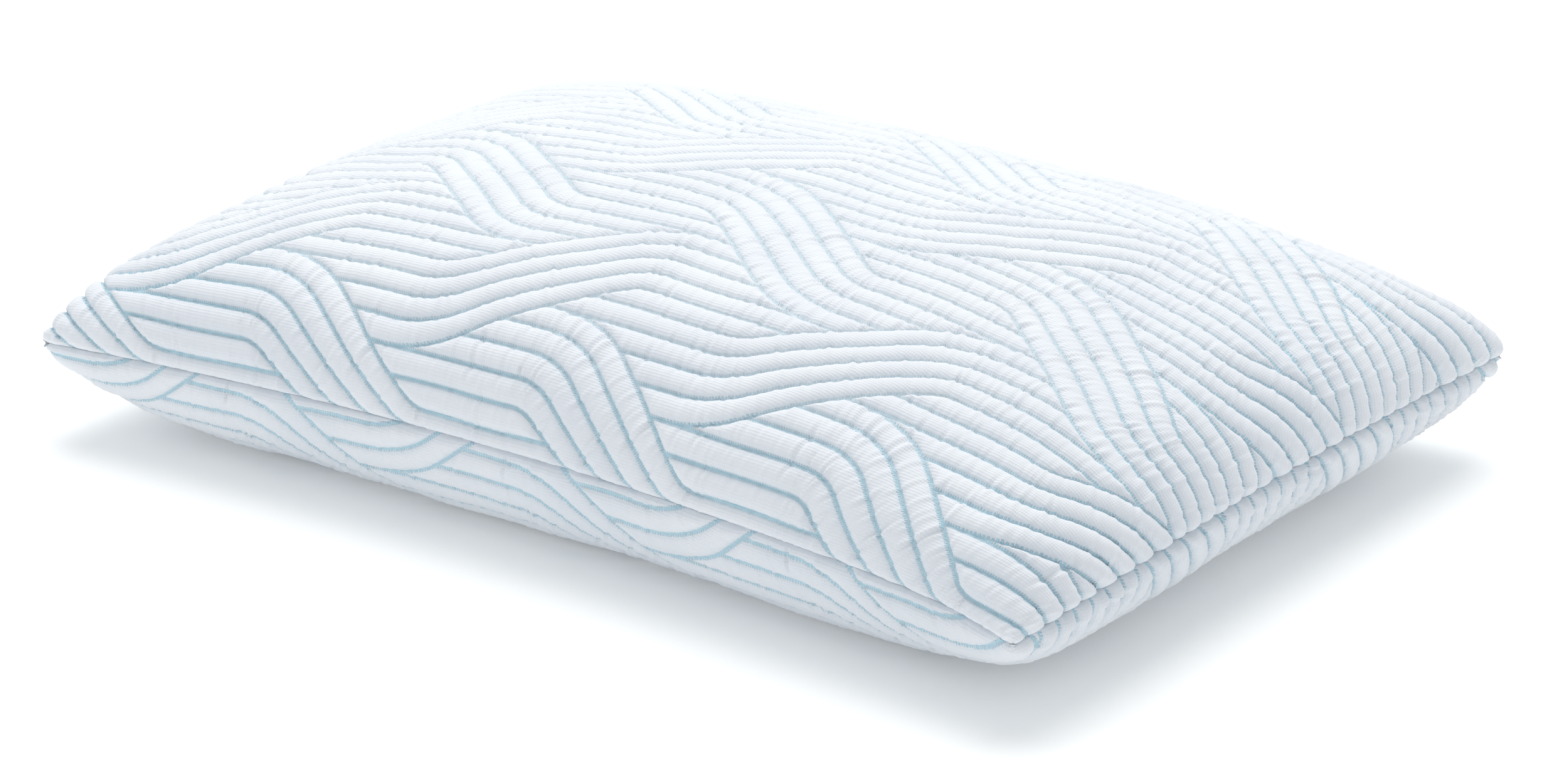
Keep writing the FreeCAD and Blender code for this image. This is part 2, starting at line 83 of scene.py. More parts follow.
# Place of one falling and one rising band: millimetres along, ribs across.
FALLING_CENTRE = (58.1, 0.5)
RISING_CENTRE = (-38.1, 6.5)
WANDER_ALONG = 0.9
WANDER_ACROSS = 0.8
# Longer than any distance across a rib.
FAR = 99.0

# Loft of the ribs, and the shape of the grooves between them.
GROOVE_HALF = 0.6
LEVEL_LOFT = 3.5
FALLING_LOFT = 2.9
RISING_LOFT = 3.8
LOFT_UNEVEN = 0.10
RIB_SQUARENESS = 0.60
SCALLOP = 0.9

# Strength of the puckers beside the stitching of each kind of rib.
LEVEL_PUCKER = 0.50
FALLING_PUCKER = 0.76
RISING_PUCKER = 0.46
BEND_PUCKER = 0.12
BEND_SPREAD = 17.0

# How the ribs are held where the cover is sewn, and gathered along the short edges.
LONG_PINCH = 6.0
SHORT_PINCH = 8.0
GATHER_REACH = 26.0
GATHER_END = 45.0
TUCK_DEPTH = 2.4
TUCK_WIDTH = 5.5
PRESSED_SHARE = 0.1
# Slow unevenness of the filling: height, how fast it fades at the outline and near the floor.
SOFT_WAVE = 1.3
SOFT_RIM = 9
SOFT_FLOOR = 0.2
SOFT_FLOOR_RUN = 6

# Zip opening and the topstitching beside it.
ZIP_HALF = 205.0
ZIP_LIFT = 8.0
ZIP_LIFT_END = 11.0
ZIP_FLAT_START = 45
ZIP_FLAT_RUN = 30
ZIP_RIB_START = 7
ZIP_RIB_RUN = 16
TOPSTITCH_INSET = 3.6
STITCH_PITCH = 3.4
STITCH_LENGTH = 2.5
STITCH_RADIUS = 0.34
STITCH_SIDES = 8

# Overlocked edge inside the seam.
OVERLOCK_OUTER = 3.0
OVERLOCK_INNER = 7.6
OVERLOCK_BEVEL = 0.6
OVERLOCK_LOOP = 3.0
OVERLOCK_HALF = 0.8
OVERLOCK_END = ZIP_HALF + 9

# Blank label: its place on the short edge, and its path out from the seam and down.
LABEL_Y = 70.0
LABEL_HALF_WIDTH = 15.0
LABEL_THICKNESS = 0.8
LABEL_ROWS = 60
LABEL_COLUMNS = 31
LABEL_SMOOTHING = 12
LABEL_PATH = (
    (-3.0, 0.0), (0.5, 0.0), (2.4, -1.6), (3.6, -6.0), (4.0, -14.0), (3.6, -24.0), (2.6, -37.6),
)

# Distance between the points of the panel meshes, half the size they span, and how
# many of those steps the inner side takes at once.
STEP = 1.25
SPAN_ALONG = 400
SPAN_ACROSS = 290
COARSE = 8
# Points used to measure a form, and how far the spacing follows that measure.
DENSE = 1601
EVEN_SHARE = 0.75
# Grid of the inner layers.
LAYER_ROWS = 145
LAYER_COLUMNS = 97

# Colours of the cover.
KNIT_WHITE = (0.785, 0.812, 0.850, 1)
KNIT_COOL = (0.750, 0.780, 0.825, 1)
# Painted shade: beside each groove the cloth is darkened towards this colour, where shade falls
# between the ribs; the darker courses of the knit loops use this colour too.
GROOVE_SHADE_AND_LOOP_TONE = (0.66, 0.735, 0.80, 1)
THREAD_BLUE = (0.45, 0.68, 0.79, 1)

# Ladder stitching: half width of its middle line and of its rungs, each from full to
# none, and the repeat of the rungs. Painted light: between two heights the stitching and the
# painted groove shade fade to a share, so the crown is painted paler as if brighter lit.
RAIL_HALF = (0.25, 0.55)
LADDER_HALF = (1.05, 1.45)
RUNG_PITCH = 1.5
BAND_MARGIN = 1.2
PAINTED_TOP_LIGHT_HEIGHTS = (0.095, 0.140)
PAINTED_TOP_LIGHT_LEFT = 0.45
KNIT_COURSE = 1.6
KNIT_WALE = 1.3

# Floor, and the photograph's camera: degrees, metres, and a lens in millimetres.
FLOOR_HALF = 30
FLOOR_DROP = 0.0003
FLOOR_GLOW = 0.12
SKY_STRENGTH = 0.67
CAMERA_AZIMUTH = 37.313
CAMERA_ELEVATION = 22.098
CAMERA_ROLL = -0.601
CAMERA_DISTANCE = 2.939
CAMERA_TARGET = (0.0423, -0.0407, 0.0549)
CAMERA_LENS = 120.3


# ------------------------------------------------------------------ cushion form
def edge_profile(s):
    """1 along the straight part of the zip edge, falling to 0 at the corners."""
    x = np.clip((np.abs(s) - STRAIGHT_SHARE) / (1 - STRAIGHT_SHARE), 0, 1)
    return 1 - x * x * (3 - 2 * x)


def near_corner(s, t):
    """1 at the drooping corner of +X and -Y, falling to 0 around it."""
    return np.clip(s, 0, 1) ** NEAR_CORNER_POWER * np.clip(-t, 0, 1) ** NEAR_CORNER_POWER


def plan_point(s, t, inset):
    """Plan position of the grid values (s, t) on a layer set in from the cover."""
    side = SIDE_PULL * (1 - t * t) * np.abs(s) ** 3
    x = s * (HALF_LENGTH - side) * (HALF_LENGTH - inset) / HALF_LENGTH
    pull = np.where(t < 0, FRONT_PULL * (1 - s * s), BACK_PULL * edge_profile(s))
    y = t * (HALF_WIDTH - pull * np.abs(t) ** 3 - inset)
    blunt = CORNER_PULL * np.abs(s * t) ** CORNER_POWER
    near = near_corner(s, t)
    x -= np.sign(s) * blunt + NEAR_CORNER_PULL * near
    y -= np.sign(t) * blunt + NEAR_CORNER_REACH * near
    return x, y


def seam_height(s, t):
    """Height of the seam surface."""
    long_rise = SEAM_LONG - SEAM_CORNER
    short_rise = SEAM_SHORT - SEAM_CORNER
    along = np.where(t > 0, edge_profile(s), 1 - s * s)
    middle = (long_rise + short_rise) / 2 * (1 - s * s) * (1 - t * t)
    droop = NEAR_CORNER_DROOP * near_corner(s, t)
    return SEAM_CORNER + long_rise * along * t * t + short_rise * (1 - t * t) * s * s + middle - droop


def fullness(s, t):
    """0 on the outline, 1 in the middle of a panel."""
    return np.maximum((1 - np.abs(s) ** RIM_POWER_LONG) * (1 - np.abs(t) ** RIM_POWER_WIDE), 0)


def top_form(s, t, inset=0.0):
    """Upper layer of the cushion."""
    x, y = plan_point(s, t, inset)
    wall = (WALL_RISE - inset) * fullness(s, t) ** TOP_ROUNDNESS
    crown = CROWN_RISE * (1 - s * s) * (1 - t * t)
    return np.stack([x, y, seam_height(s, t) + wall + crown], -1)


def belly_form(s, t, inset=0.0):
    """Lower layer of the cushion, flat where it rests."""
    x, y = plan_point(s, t, inset)
    full = fullness(s, t) ** BELLY_ROUNDNESS
    height = seam_height(s, t) - BELLY_DROP * full
    blended = (height + REST_BLEND) ** 2 / (4 * REST_BLEND)
    height = np.where(height < REST_BLEND, np.where(height < -REST_BLEND, 0.0, blended), height)
    return np.stack([x, y, height + inset * full], -1)


# --------------------------------------------------------------------- quilting
def band_field(x, y):
    """Distance above the middle line of one slanting band, and the run along it.

    The line comes in level, bends down, runs down at the slant and bends level again.
    """
    half_drop = BAND_DROP * RIB / 2
    sine, cosine = math.sin(SLANT), math.cos(SLANT)
    reach = half_drop / math.tan(SLANT) + BEND_RADIUS * math.tan(SLANT / 2)
    upper_x, upper_y = -reach, half_drop - BEND_RADIUS
    lower_x, lower_y = reach, BEND_RADIUS - half_drop
    past_upper = (x - upper_x) * cosine - (y - upper_y) * sine
    past_lower = (x - lower_x) * cosine - (y - lower_y) * sine
    arc = BEND_RADIUS * SLANT
    straight = (lower_x - upper_x) * cosine - (lower_y - upper_y) * sine
    upper_angle = np.arctan2(x - upper_x, y - upper_y)
    lower_angle = np.arctan2(lower_x - x, lower_y - y)
    cases = [x < upper_x, past_upper < 0, past_lower < 0, x < lower_x]
    distance = np.select(
        cases,
        [
            y - half_drop,
            np.hypot(x - upper_x, y - upper_y) - BEND_RADIUS,
            x * sine + y * cosine,
            BEND_RADIUS - np.hypot(x - lower_x, y - lower_y),
        ],
        y + half_drop,
    )
    run = np.select(
        cases,
        [
            x - upper_x,
            BEND_RADIUS * upper_angle,
            arc + past_upper,
            arc + straight + BEND_RADIUS * (SLANT - lower_angle),
        ],
        2 * arc + straight + x - lower_x,
    )
    return distance, run, 2 * arc + straight


def quilting(u, v, first_level, shift, lean):
    """Quilting fields at flat positions (u, v) of a panel.

    level: height in ribs; band: line number 1 to 5 across the nearest slanting band;
    run: way along that band; inside: how far inside the band, negative outside;
    rising: 1 where that band rises.
    """
    level = (v - first_level) / RIB
    inside = np.full(u.shape, -1e9)
    band = np.zeros(u.shape)
    run = np.zeros(u.shape)
    rising = np.zeros(u.shape)
    row_height = REPEAT_LEVELS * RIB
    bands = (
        (1, FALLING_CENTRE[0] + shift, first_level + FALLING_CENTRE[1] * RIB),
        (-1, RISING_CENTRE[0] + shift, first_level + RISING_CENTRE[1] * RIB),
    )
    for side, centre_u, centre_v in bands:
        near_row = np.round((v - centre_v) / row_height)
        for other_row in (-1, 0, 1):
            row = near_row + other_row
            row_u = centre_u + lean * row
            near_column = np.round((u - row_u) / REPEAT_ALONG)
            for other_column in (-1, 0, 1):
                x = side * (u - row_u - (near_column + other_column) * REPEAT_ALONG)
                y = v - centre_v - row * row_height
                distance, way, whole = band_field(x, y)
                in_length = np.minimum(way, whole - way)
                depth = np.minimum(BAND_RIBS / 2 * RIB - np.abs(distance), in_length)
                better = depth > inside
                inside = np.where(better, depth, inside)
                band = np.where(better, 3 - distance / RIB, band)
                run = np.where(better, way, run)
                rising = np.where(better, side < 0, rising)
    return level, inside, band, run, rising


BEND_PLACE = BEND_RADIUS * SLANT / 2
BAND_WAY = float(band_field(np.zeros(1), np.zeros(1))[2])


def waves(x, y, seed, sizes):
    """Smooth uneven field between about -1 and 1, from a few crossed waves."""
    rng = np.random.default_rng(seed)
    total = np.zeros(np.broadcast(x, y).shape)
    for size in sizes:
        for _ in range(4):
            angle, phase = rng.uniform(0, 2 * math.pi, 2)
            turn = 2 * math.pi / (size * rng.uniform(0.75, 1.35))
            total += np.sin((x * math.cos(angle) + y * math.sin(angle)) * turn + phase)
    return total / (2.2 * math.sqrt(len(sizes)) * 1.6)


def puckers(way, line, seed):
    """Gathers along a stitched line, different on every line: waves of 4 to 53 mm."""
    key = np.sin(line * 12.9898 + seed * 4.1414) * 43758.5453
    key = (key - np.floor(key)) * 2 * math.pi
    turn = way * 2 * math.pi
    fine = 0.45 * np.sin(turn / 4.3 + key) + 0.6 * np.sin(turn / 6.7 + 2.3 * key)
    broad = 0.55 * np.sin(turn / 11.9 + 3.7 * key + np.sin(turn / 37.0))
    gather = np.sin(turn / 31.0 + 1.7 * key) * np.sin(turn / 53.0 + 3.1 * key)
    return (fine + broad) * (0.4 + 0.9 * np.clip(gather + 0.2, 0, 1))


def rib_height(u, v, fields, seed):
    """Height of the quilted surface over the cushion form, in millimetres."""
    level, inside, band, run, rising = fields
    in_band = inside > 0
    place = np.where(in_band, band + 20, level)
    way = np.where(in_band, run, u)
    below = puckers(way, np.floor(place), seed)
    above = puckers(way, np.floor(place) + 1, seed)
    share = place - np.floor(place)

    level_gap = np.abs(level - np.round(level)) * RIB
    band_gap = np.abs(band - np.clip(np.round(band), 1, 5)) * RIB
    beside_band = np.where(inside > -RIB, band_gap, FAR)
    gap = np.where(in_band, band_gap, np.minimum(level_gap, beside_band))
    bend = np.exp(-((run - BEND_PLACE) / BEND_SPREAD) ** 2)
    bend += np.exp(-((BAND_WAY - run - BEND_PLACE) / BEND_SPREAD) ** 2)
    in_rising = rising > 0.5
    band_pucker = np.where(in_rising, RISING_PUCKER, FALLING_PUCKER) + BEND_PUCKER * bend
    strength = np.where(in_band, band_pucker, LEVEL_PUCKER)
    nearest = np.where(share < 0.5, below, above)
    scallop = gap + SCALLOP * strength * nearest * np.clip(gap / 1.5, 0, 1)
    rise = np.clip((scallop - GROOVE_HALF) / (RIB / 2 - GROOVE_HALF), 0, 1)
    swell = (1 - (1 - rise) ** 2.1) ** RIB_SQUARENESS
    loft = np.where(in_band, np.where(in_rising, RISING_LOFT, FALLING_LOFT), LEVEL_LOFT)
    loft = loft * (1 + LOFT_UNEVEN * waves(u, v, seed + 4, (34, 60)))
    folds = (1 - share) ** 1.3 * below + share ** 1.3 * above
    return swell * (loft + strength * folds)


# ---------------------------------------------------------------- panel meshes
def arc_share(points, axis):
    """Distance along the grid from -1 to 1, measured on the surface."""
    steps = np.linalg.norm(np.diff(points, axis=axis), axis=2)
    zero = np.zeros_like(np.take(steps, [0], axis=axis))
    way = np.concatenate([zero, np.cumsum(steps, axis=axis)], axis=axis)
    return 2 * way / np.take(way, [-1], axis=axis) - 1


def even_values(form, axis, count):
    """Grid values that are nearly evenly spaced on the surface."""
    dense = np.sin(np.linspace(-math.pi / 2, math.pi / 2, DENSE))
    line = np.zeros((DENSE, 1))
    pair = (dense[:, None], line) if axis == 0 else (line, dense[:, None])
    middle = arc_share(form(*pair), 0)[:, 0]
    share = EVEN_SHARE * middle + (1 - EVEN_SHARE) * dense
    return np.interp(np.linspace(-1, 1, count), share, dense)


def surface_normals(points, flip):
    """Unit normals of a grid of points."""
    along = np.gradient(points, axis=0)
    across = np.gradient(points, axis=1)
    normal = np.cross(along, across)
    normal /= np.maximum(np.linalg.norm(normal, axis=2, keepdims=True), 1e-9)
    return -normal if flip else normal


def zip_lift(x):
    """How far the panel edge stands back from the zip's centre line."""
    share = np.clip((ZIP_HALF + ZIP_LIFT_END - np.abs(x)) / ZIP_LIFT_END, 0, 1)
    return ZIP_LIFT * share * share * (3 - 2 * share)


def panel_grid(form, rise, roundness):
    """Grid values of a panel, cut back along the zip, its points and its flat shares."""
    count_x = int(2 * SPAN_ALONG / STEP) // COARSE * COARSE + 1
    count_y = int(2 * SPAN_ACROSS / STEP) // COARSE * COARSE + 1
    s = even_values(form, 0, count_x)[:, None] * np.ones((1, count_y))
    whole = even_values(form, 1, count_y)
    t = whole[None, :] * np.ones((count_x, 1))
    uncut = form(s, t)
    lift = zip_lift(s * HALF_LENGTH)
    full = (lift / rise) ** (1 / roundness) / np.maximum(1 - np.abs(s) ** RIM_POWER_LONG, 1e-3)
    edge = (1 - np.clip(full, 0, 0.9)) ** (1 / RIM_POWER_WIDE)
    t = np.where(t > 0, t * (1 + (edge - 1) * np.abs(t) ** 8), t)
    shares = []
    for axis in (0, 1):
        share = arc_share(uncut, axis)
        shares.append(np.array([np.interp(places, whole, row) for places, row in zip(t, share)]))
    return s, t, form(s, t), shares[0], shares[1]


def held_in(distance, width):
    """0 at a seam, rising like a quarter circle to 1."""
    share = np.clip(distance / width, 0, 1)
    return np.sqrt(1 - (1 - share) ** 2)


def build_panel(
    name, form, upper, first_level, shift, lean, flat_half_length, loft_share, gathered, seed,
):
    """Quilted panel: ribbed outer surface, plain inner surface, closed along its edge.

    first_level, shift and lean place the quilting; loft_share scales its ribs, and
    gathered is how much fuller they are beside the short edges. Returns the piece,
    and the line beside the zip where it is topstitched.
    """
    rise, roundness = (WALL_RISE, TOP_ROUNDNESS) if upper else (BELLY_DROP, BELLY_ROUNDNESS)
    s, t, points, share_u, share_v = panel_grid(form, rise, roundness)
    u = share_u * flat_half_length
    v = share_v * FLAT_HALF_WIDTH * (1 if upper else -1)
    wander_u = u + WANDER_ALONG * waves(u, v, seed + 1, (70, 120))
    wander_v = v + WANDER_ACROSS * waves(u, v, seed + 2, (60, 110))
    fields = quilting(wander_u, wander_v, first_level, shift, lean)
    height = rib_height(wander_u, wander_v, fields, seed) * loft_share

    # the ribs are pinched where the cover is sewn, more gently beside the zip
    left = np.linalg.norm(points - points[[0]], axis=2)
    right = np.linalg.norm(points - points[[-1]], axis=2)
    front = np.linalg.norm(points - points[:, [0]], axis=2)
    back = np.linalg.norm(points - points[:, [-1]], axis=2)
    beside_zip = np.clip((ZIP_HALF + ZIP_FLAT_START - np.abs(points[..., 0])) / ZIP_FLAT_RUN, 0, 1)
    back_held = held_in(back, LONG_PINCH) * (1 - beside_zip)
    back_held += np.clip((back - ZIP_RIB_START) / ZIP_RIB_RUN, 0, 1) * beside_zip
    gather = np.exp(-(np.minimum(left, right) / GATHER_REACH) ** 2)
    gather *= np.clip(np.minimum(front, back) / GATHER_END, 0, 1)
    height *= 1 + gathered * gather
    held = held_in(left, SHORT_PINCH) * held_in(right, SHORT_PINCH)
    held *= held_in(front, LONG_PINCH) * back_held
    to_seam = np.minimum(np.minimum(left, right), np.minimum(front, back + FAR * beside_zip))
    tuck = TUCK_DEPTH * np.clip(1 - to_seam / TUCK_WIDTH, 0, 1) ** 2
    rim = np.clip(np.minimum(1 - np.abs(s), 1 - np.abs(t)) * SOFT_RIM, 0, 1)
    soft = SOFT_WAVE * waves(u, v, seed + 3, (90, 150)) * rim
    resting = 1.0 if upper else np.clip((points[..., 2] - SOFT_FLOOR) / SOFT_FLOOR_RUN, 0, 1)
    normals = surface_normals(points, not upper)
    outer = points + normals * ((height * held + soft * resting - tuck)[..., None])
    if not upper:
        # where it rests, the ribs are pressed flat and only the grooves stand off the floor
        pressed = PRESSED_SHARE * np.maximum(LEVEL_LOFT - height, 0)
        outer[..., 2] = np.maximum(outer[..., 2], pressed)

    mesh = closed_sheet(name, outer, form(s, t, COVER_INSET), upper)
    flat = {
        "level": fields[0],
        "inside": fields[1],
        "band": fields[2],
        "run": fields[3],
        "along": wander_u,
        "across": wander_v,
    }
    for key, values in flat.items():
        add_values(mesh, key, values.ravel())
    return link_piece(name, mesh), topstitch_line(outer, normals, back)


def topstitch_line(outer, normals, from_edge):
    """Points and normals on a panel at the topstitching's distance from the zip edge."""
    places, directions = [], []
    for row, normal, distance in zip(outer, normals, from_edge):
        if abs(row[-1, 0]) < ZIP_HALF:
            order = slice(None, None, -1)
            way = distance[order]
            places.append([np.interp(TOPSTITCH_INSET, way, row[order, k]) for k in range(3)])
            directions.append([np.interp(TOPSTITCH_INSET, way, normal[order, k]) for k in range(3)])
    return np.array(places), np.array(directions)


def link_piece(name, mesh):
    """New object with that mesh in the scene."""
    piece = bpy.data.objects.new(name, mesh)
    bpy.context.scene.collection.objects.link(piece)
    return piece


def finish_mesh(name, vertices, faces):
    """Smooth mesh from millimetre positions."""
    mesh = bpy.data.meshes.new(name)
    mesh.from_pydata((np.asarray(vertices) * MM).tolist(), [], faces)
    mesh.validate()
    mesh.shade_smooth()
    return mesh


def closed_sheet(name, outer, inner, upper, coarse=COARSE):
    """Mesh of a fine outer grid, a coarse inner grid and the strip that joins their edges.

    The inner grid keeps every point of its edge, so the strip has no gaps.
    """
    rows, columns = outer.shape[:2]
    index = np.arange(rows * columns).reshape(rows, columns)
    quads = np.stack([index[:-1, :-1], index[1:, :-1], index[1:, 1:], index[:-1, 1:]], -1)
    quads = quads.reshape(-1, 4)
    if not upper:
        quads = quads[:, ::-1]
    faces = quads.tolist()
    rim = np.concatenate([index[:, 0], index[-1, 1:], index[-2::-1, -1], index[0, -2:0:-1]])
    inner_flat = inner.reshape(-1, 3)
    keep = np.zeros((rows, columns), bool)
    keep[::coarse, ::coarse] = True
    keep[0, :] = keep[-1, :] = True
    keep[:, 0] = keep[:, -1] = True
    inner_index = np.full(rows * columns, -1)
    used = np.flatnonzero(keep.ravel())
    inner_index[used] = np.arange(len(used)) + rows * columns
    inner_index = inner_index.reshape(rows, columns)
    for i in range(0, rows - 1, coarse):
        for j in range(0, columns - 1, coarse):
            high_i, high_j = i + coarse, j + coarse
            loop = [inner_index[k, j] for k in range(i, high_i)]
            loop += [inner_index[high_i, k] for k in range(j, high_j)]
            loop += [inner_index[k, high_j] for k in range(high_i, i, -1)]
            loop += [inner_index[i, k] for k in range(high_j, j, -1)]
            loop = [int(k) for k in loop if k >= 0]
            faces.append(loop[::-1] if upper else loop)
    inner_rim = inner_index.ravel()[rim]
    for k in range(len(rim)):
        after = (k + 1) % len(rim)
        strip = [int(rim[after]), int(rim[k]), int(inner_rim[k]), int(inner_rim[after])]
        faces.append(strip if upper else strip[::-1])
    return finish_mesh(name, np.concatenate([outer.reshape(-1, 3), inner_flat[used]]), faces)


def add_values(mesh, key, values):
    """Stores one number for each vertex of the outer grid, 0 on the rest."""
    layer = mesh.attributes.new(key, "FLOAT", "POINT")
    full = np.zeros(len(mesh.vertices), np.float32)
    full[: len(values)] = values
    layer.data.foreach_set("value", full)


# ---------------------------------------------------------------- inner pieces
def layer_mesh(name, outer_form, outer_inset, inner_form, inner_inset, upper, seed):
    """Closed cloth layer or filling between two forms, with slow soft waves."""
    quarter = math.pi / 2
    s = np.sin(np.linspace(-quarter, quarter, LAYER_ROWS))[:, None] * np.ones((1, LAYER_COLUMNS))
    t = np.sin(np.linspace(-quarter, quarter, LAYER_COLUMNS))[None, :] * np.ones((LAYER_ROWS, 1))
    outer = outer_form(s, t, outer_inset)
    rim = np.clip(np.minimum(1 - np.abs(s), 1 - np.abs(t)) * 6, 0, 1)
    ripple = 0.6 * rim * waves(outer[..., 0], outer[..., 1], seed, (28, 70))
    outer[..., 2] += ripple
    inner = inner_form(s, t, inner_inset)
    inner[..., 2] += ripple
    return closed_sheet(name, outer, inner, upper)


def overlock_mesh(name):
    """Overlocked seam allowance: a looped strip all round, open behind the zip."""
    back_steps, side_steps, front_steps = 180, 600, 900
    back_half = np.linspace(OVERLOCK_END / HALF_LENGTH, 1, back_steps, endpoint=False)
    side = np.linspace(1, -1, side_steps, endpoint=False)
    front = np.linspace(1, -1, front_steps, endpoint=False)
    end = np.ones(side_steps)
    s = np.concatenate([back_half, end, front, -end, -back_half[::-1]])
    t = np.concatenate([np.ones(back_steps), side, -np.ones(front_steps), -side, np.ones(back_steps)])
    seam = np.stack([*plan_point(s, t, 0.0), seam_height(s, t)], -1)
    way = np.concatenate([[0], np.cumsum(np.linalg.norm(np.diff(seam, axis=0), axis=1))])
    loop = 0.5 * np.sin(way * 2 * math.pi / OVERLOCK_LOOP)
    rings = []
    section = (
        (OVERLOCK_OUTER, -OVERLOCK_HALF), (OVERLOCK_OUTER, OVERLOCK_HALF),
        (OVERLOCK_INNER - OVERLOCK_BEVEL, OVERLOCK_HALF), (OVERLOCK_INNER, 0.0),
        (OVERLOCK_INNER - OVERLOCK_BEVEL, -OVERLOCK_HALF),
    )
    for inset, rise in section:
        reach = inset + (loop if inset > OVERLOCK_OUTER else 0.0)
        rings.append(np.stack([*plan_point(s, t, reach), seam_height(s, t) + rise], -1))
    vertices = np.stack(rings, 1).reshape(-1, 3)
    count = len(section)
    faces = []
    for i in range(len(s) - 1):
        for j in range(count):
            after = (j + 1) % count
            low, high = i * count, (i + 1) * count
            faces.append((low + j, low + after, high + after, high + j))
    faces.append(tuple(range(count))[::-1])
    faces.append(tuple((len(s) - 1) * count + j for j in range(count)))
    return finish_mesh(name, vertices, faces)


def stitch_mesh(name, places, directions):
    """Row of single stitches lying on a panel: short rounded threads."""
    way = np.concatenate([[0], np.cumsum(np.linalg.norm(np.diff(places, axis=0), axis=1))])
    vertices, faces = [], []
    # share of the stitch's length, share of its thickness, and lift off the cloth
    stations = (
        (-0.5, 0.15, -0.5), (-0.34, 0.85, 0.15), (0, 1.0, 0.55),
        (0.34, 0.85, 0.15), (0.5, 0.15, -0.5),
    )
    sides = STITCH_SIDES
    for k in range(int(way[-1] / STITCH_PITCH) - 1):
        middle = (k + 1) * STITCH_PITCH
        first = len(vertices)
        for share, width, lift in stations:
            at = middle + share * STITCH_LENGTH
            place = np.array([np.interp(at, way, places[:, j]) for j in range(3)])
            normal = np.array([np.interp(at, way, directions[:, j]) for j in range(3)])
            ahead = np.array([np.interp(at + 1, way, places[:, j]) for j in range(3)]) - place
            ahead /= np.linalg.norm(ahead)
            normal = normal - ahead * (normal @ ahead)
            normal /= np.linalg.norm(normal)
            across = np.cross(ahead, normal)
            centre = place + normal * STITCH_RADIUS * lift
            for j in range(sides):
                turn = 2 * math.pi * j / sides
                ring = normal * math.cos(turn) + across * math.sin(turn)
                vertices.append(centre + ring * STITCH_RADIUS * width)
        for station in range(len(stations) - 1):
            for j in range(sides):
                low = first + station * sides
                after = (j + 1) % sides
                faces.append((low + j, low + after, low + sides + after, low + sides + j))
        faces.append(tuple(first + j for j in range(sides))[::-1])
        last = first + (len(stations) - 1) * sides
        faces.append(tuple(last + j for j in range(sides)))
    return finish_mesh(name, vertices, faces)


def label_mesh(name):
    """Blank folded ribbon that hangs from the seam of the short edge."""
    path = np.array(LABEL_PATH)
    way = np.concatenate([[0], np.cumsum(np.linalg.norm(np.diff(path, axis=0), axis=1))])
    steps = np.linspace(0, way[-1], LABEL_ROWS)
    smooth = np.stack([np.interp(steps, way, path[:, 0]), np.interp(steps, way, path[:, 1])], -1)
    for _ in range(LABEL_SMOOTHING):
        smooth[1:-1] = (smooth[:-2] + 2 * smooth[1:-1] + smooth[2:]) / 4
    tangent = np.gradient(smooth, axis=0)
    tangent /= np.linalg.norm(tangent, axis=1, keepdims=True)
    side = np.stack([-tangent[:, 1], tangent[:, 0]], -1)
    width = np.linspace(-LABEL_HALF_WIDTH, LABEL_HALF_WIDTH, LABEL_COLUMNS)
    share = LABEL_Y / HALF_WIDTH
    seam_x = -(HALF_LENGTH - SIDE_PULL * (1 - share * share))
    layers = []
    for sign in (1, -1):
        half = LABEL_THICKNESS / 2 * np.clip((way[-1] - steps) / 1.2, 0.12, 1)
        line = smooth + sign * side * half[:, None]
        curl = 0.5 * (steps / way[-1]) ** 2
        out = line[:, [0]] + curl[:, None] * np.cos(width[None, :] / LABEL_HALF_WIDTH * 2.2)
        x = seam_x - out
        y = LABEL_Y + np.ones((LABEL_ROWS, 1)) * width[None, :]
        z = SEAM_SHORT + line[:, [1]] + np.zeros((1, LABEL_COLUMNS))
        layers.append(np.stack([x, y, z], -1))
    return closed_sheet(name, layers[0], layers[1], True, coarse=1)


